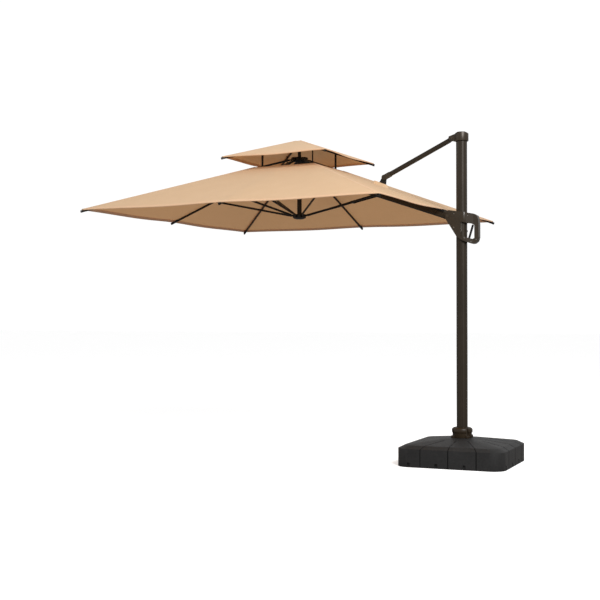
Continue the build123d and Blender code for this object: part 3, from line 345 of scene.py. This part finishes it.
# the hem's fold, as inset from the rim and lift over the cover: over the top, round the edge and back below
hem_section = [(0.030, 0.0012), (-0.0015, 0.0016), (-0.0022, -0.006), (0.0005, -0.0085), (0.030, -0.0026)]
for rib, azimuth in ribs.items():
    stretches = [(azimuth - half_stretch, azimuth + half_stretch, 0.0)]
    if rib == "boom_side":
        stretches = [(0.0, half_stretch, gathered_at), (-half_stretch, 0.0, -gathered_at)]
    for number, (start, end, aside) in enumerate(stretches):
        suffix = rib if len(stretches) == 1 else rib + "_" + "ab"[number]

        def direction(u):
            spread = math.copysign(abs(u) ** 1.5, u) if not aside else u
            return math.radians((start + end) / 2 + spread * (end - start) / 2)

        def plan(u, v):
            angle = direction(u)
            bow = rim_bow * math.sin(4 * angle) ** 2 * max(0.0, v) ** 4
            x, y = on_square(hole + (v + 1) / 2 * (rim - bow - hole), angle)
            if aside and strut_slit[0] < x < strut_slit[1] and abs(y) < slit_half:
                y = math.copysign(slit_half, aside)
            return x, y

        panel = sheet_grid("canopy_" + suffix, 24, 30, plan, cover)
        panel.data.materials.append(cloth.material)

        def hem_point(u, v):
            angle = direction(u)
            inset, lift = hem_section[round((v + 1) * 2)]
            return cover(*on_square(rim - rim_bow * math.sin(4 * angle) ** 2 - inset, angle), lift)

        hem = sheet_grid("hem_" + suffix, 24, 4, hem_point)
        hem.data.materials.append(hem_cloth.material)
        extras = [hem]
        if azimuth % 90:
            unit = Vector((math.cos(math.radians(azimuth)), math.sin(math.radians(azimuth))))

            def tape_point(u, v):
                distance = math.sqrt(2) * (hole + (v + 1) / 2 * (rim - hole) - 0.002) - abs(u) * 0.008
                x = unit.x * distance - unit.y * u * 0.011
                y = unit.y * distance + unit.x * u * 0.011
                return cover(x, y, 0.0018 if abs(u) < 0.9 else 0.0004)

            tape = sheet_grid("hip_seam_" + suffix, 4, 40, tape_point)
            tape.data.materials.append(hem_cloth.material)
            extras.append(tape)
        if not aside or number == 0:
            unit = Vector((math.cos(math.radians(azimuth)), math.sin(math.radians(azimuth))))
            sides = (0.0,) if not aside else (-twin_rib, twin_rib)
            for side in sides:
                end_m = rim * (math.sqrt(2) if azimuth % 90 else 1.0)

                def pocket_point(u, v):
                    around = math.radians(90 + u * 100)
                    distance = end_m - 0.003 - (1 - v) / 2 * pocket_length
                    across = side + pocket_radius * math.cos(around) * (1.0 + 0.15 * (1 - v))
                    top = cover(unit.x * distance, unit.y * distance)
                    drop = 0.0115 + 0.0155 * math.sin(around) - (0.002 if v < 0 else 0.0)
                    return Vector((hub_x + unit.x * distance - unit.y * across,
                                   unit.y * distance + unit.x * across, top.z - drop))

                letter = "" if not side else "_" + "ab"[side > 0]
                pocket = sheet_grid("tip_pocket_" + suffix + letter, 12, 6, pocket_point)
                pocket.data.materials.append(nylon_black.material)
                extras.append(pocket)
        for piece in [panel] + extras:
            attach(piece, "rib_" + rib)
            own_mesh(piece)
        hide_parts("main_canopy")
        # the cut's area: its share of one sloping side, or of the two sides that meet at a hip
        turn = math.tan(math.radians(half_stretch))
        share = 2 * (1 - turn) if azimuth % 90 else (turn if aside else 2 * turn)
        area = share * (rim ** 2 - hole ** 2) / 2 * math.hypot(1, pitch)
        flat = (1.22, 1.70) if azimuth % 90 else ((1.16, 1.20) if not aside else (0.60, 1.20))

# ---- vent canopy ------------------------------------------------------------------------------------------
# The small cover above the vent: a stretch for each vent rib, with a hem and a taped seam over the rib.
# It is peaked a little at the crown.
low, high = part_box("vent_canopy")
vent_rim = (high[1] - low[1]) / 2
vent_z = low[2] + cloth_thick
vent_top = 0.030
vent_pitch = (high[2] - vent_z) / (vent_rim - vent_top)
vent_bow = 0.006
vent_hem = [(0.024, 0.0012), (-0.0015, 0.0016), (-0.0022, -0.005), (0.0005, -0.0075), (0.024, -0.0026)]


def vent_cover(x, y, lift=0.0):
    """A point on the vent's cover over plan position x, y from the hub: it sags between its ribs."""
    m = max(abs(x), abs(y))
    slope = vent_pitch * (vent_rim - max(m, vent_top))
    sag = 0.012 * math.cos(2 * math.atan2(y, x)) ** 2 * (m / vent_rim) ** 1.5
    peak = 0.003 * math.exp(-(m / vent_top) ** 2)
    return Vector((hub_x + x, y, vent_z + slope - sag + peak + lift))


for name, azimuth in {"right_back": 45, "left_back": 135, "left_front": 225, "right_front": 315}.items():
    def direction(u):
        return math.radians(azimuth + math.copysign(abs(u) ** 1.5, u) * 45)

    def plan(u, v):
        angle = direction(u)
        bow = vent_bow * math.cos(2 * angle) ** 2 * max(0.0, v) ** 4
        return on_square(0.001 + (v + 1) / 2 * (vent_rim - bow - 0.001), angle)

    panel = sheet_grid("vent_" + name, 28, 18, plan, vent_cover)
    panel.data.materials.append(vent_cloth.material)

    def hem_point(u, v):
        angle = direction(u)
        inset, lift = vent_hem[round((v + 1) * 2)]
        return vent_cover(*on_square(vent_rim - vent_bow * math.cos(2 * angle) ** 2 - inset, angle), lift)

    hem = sheet_grid("vent_hem_" + name, 28, 4, hem_point)
    hem.data.materials.append(hem_cloth.material)
    unit = Vector((math.cos(math.radians(azimuth)), math.sin(math.radians(azimuth))))

    def tape_point(u, v):
        distance = math.sqrt(2) * (vent_top + (v + 1) / 2 * (vent_rim - vent_top) - 0.002) - abs(u) * 0.007
        x = unit.x * distance - unit.y * u * 0.010
        y = unit.y * distance + unit.x * u * 0.010
        return vent_cover(x, y, 0.0018 if abs(u) < 0.9 else 0.0004)

    tape = sheet_grid("vent_seam_" + name, 4, 20, tape_point)
    tape.data.materials.append(hem_cloth.material)
    for piece in (panel, hem, tape):
        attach(piece, "vent_rib_" + name)
        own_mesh(piece)
    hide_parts("vent_canopy")
    area = vent_rim ** 2 * math.hypot(1, vent_pitch)

# ---- boot round the strut's bracket -----------------------------------------------------------------------
# A short sleeve of the cover's cloth, where the bracket comes up through the slit.
# It is cut to taper by a fifth, and gathers in small folds at its foot.
low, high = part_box("strut_bracket")
boot_x = (low[0] + high[0]) / 2
boot_taper = 0.20
boot_half_length, boot_half_width, boot_height = 0.070, 0.026, 0.030
foot = cover(boot_x - hub_x, 0.0)


def boot_point(u, v):
    """A point round the sleeve at u and up it at v."""
    around = math.pi * (u + 1)
    grow = 1.0 - boot_taper * (v + 1) / 2
    fold = 1.0 + 0.05 * math.sin(7 * around) * (1 - v) / 2
    dx = math.copysign(abs(math.cos(around)) ** 0.5, math.cos(around)) * boot_half_length * grow * fold
    dy = math.copysign(abs(math.sin(around)) ** 0.5, math.sin(around)) * boot_half_width * grow * fold
    return Vector((boot_x + dx, dy, foot.z - pitch * dx - cloth_thick + (v + 1) / 2 * boot_height))


boot = sheet_grid("strut_boot", 48, 6, boot_point)
boot.data.materials.append(hem_cloth.material)
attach(boot, "boom")

# ---- runner's lens ----------------------------------------------------------------------------------------
# The rounded cover under the runner: a flattened ball, shallow above and deeper below.
# It is black nylon, like the runner itself.
low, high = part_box("runner")
bpy.ops.mesh.primitive_uv_sphere_add(segments=48, ring_count=24, radius=1)
lens = bpy.context.object
lens.name = "runner_lens"
lens_r = 0.056
for vertex in lens.data.vertices:
    x, y, rise = vertex.co
    depth = 0.016 if rise < 0 else 0.004
    vertex.co = Vector((hub_x + x * lens_r, y * lens_r, low[2] + 0.004 + rise * depth))
bpy.ops.object.shade_smooth()
lens.data.materials.append(nylon_black.material)
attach(lens, "runner")

# ---- floor, light and camera ------------------------------------------------------------------------------
# A pale floor in a bright room, with one broad key light from the front right and a weaker fill.
# The floor looks white, and gives back less light to what stands on it than it shows.
bpy.ops.mesh.primitive_plane_add(size=160, location=(0, 0, 0))
floor = bpy.context.object
floor.name = "floor"
ground = Finish("pale_floor")
ground.colour(ground.noise(0.4), (0.90, 0.90, 0.90), (0.93, 0.93, 0.93))
ground.shader.inputs["Roughness"].default_value = 0.9
ground.gloss(0.1)
dim = ground.tree.nodes.new("ShaderNodeBsdfDiffuse")
dim.inputs["Color"].default_value = (0.30, 0.29, 0.28, 1)
eye = ground.tree.nodes.new("ShaderNodeLightPath")
choice = ground.tree.nodes.new("ShaderNodeMixShader")
ground.tree.links.new(eye.outputs["Is Camera Ray"], choice.inputs[0])
ground.tree.links.new(dim.outputs[0], choice.inputs[1])
ground.shader.inputs["Emission Color"].default_value = (1, 1, 1, 1)
ground.shader.inputs["Emission Strength"].default_value = 0.42
ground.tree.links.new(ground.shader.outputs[0], choice.inputs[2])
ground.tree.links.new(choice.outputs[0], ground.tree.nodes["Material Output"].inputs["Surface"])
floor.data.materials.append(ground.material)
world = bpy.data.worlds.new("room")
bpy.context.scene.world = world
world.use_nodes = True
world.node_tree.nodes["Background"].inputs["Color"].default_value = (1, 1, 1, 1)
sky = Wire(world.node_tree, world.node_tree.nodes.new("ShaderNodeLightPath").outputs["Is Camera Ray"])
(sky * 0.42 + 0.62).into(world.node_tree.nodes["Background"].inputs["Strength"])
bpy.context.scene.view_settings.view_transform = "Standard"
for name, spot, aim, size, power in (("key", (5.5, -6.5, 6.5), (-0.8, 0, 1.5), 3.2, 1000.0),
                                     ("fill", (-7.0, -6.0, 3.5), (-1.2, 0, 1.8), 5.0, 60.0)):
    bpy.ops.object.light_add(type="AREA", location=spot)
    lamp = bpy.context.object
    lamp.name = name
    lamp.data.size = size
    lamp.data.energy = power
    lamp.rotation_euler = (Vector(aim) - Vector(spot)).to_track_quat("-Z", "Y").to_euler()
bpy.ops.object.camera_add(location=(3.068, -8.875, 1.207),
                          rotation=(math.radians(90.948), 0, math.radians(27.37)))
camera = bpy.context.object
camera.data.lens = 66.6
camera.data.sensor_width = 36.0
camera.data.clip_end = 300.0
bpy.context.scene.camera = camera
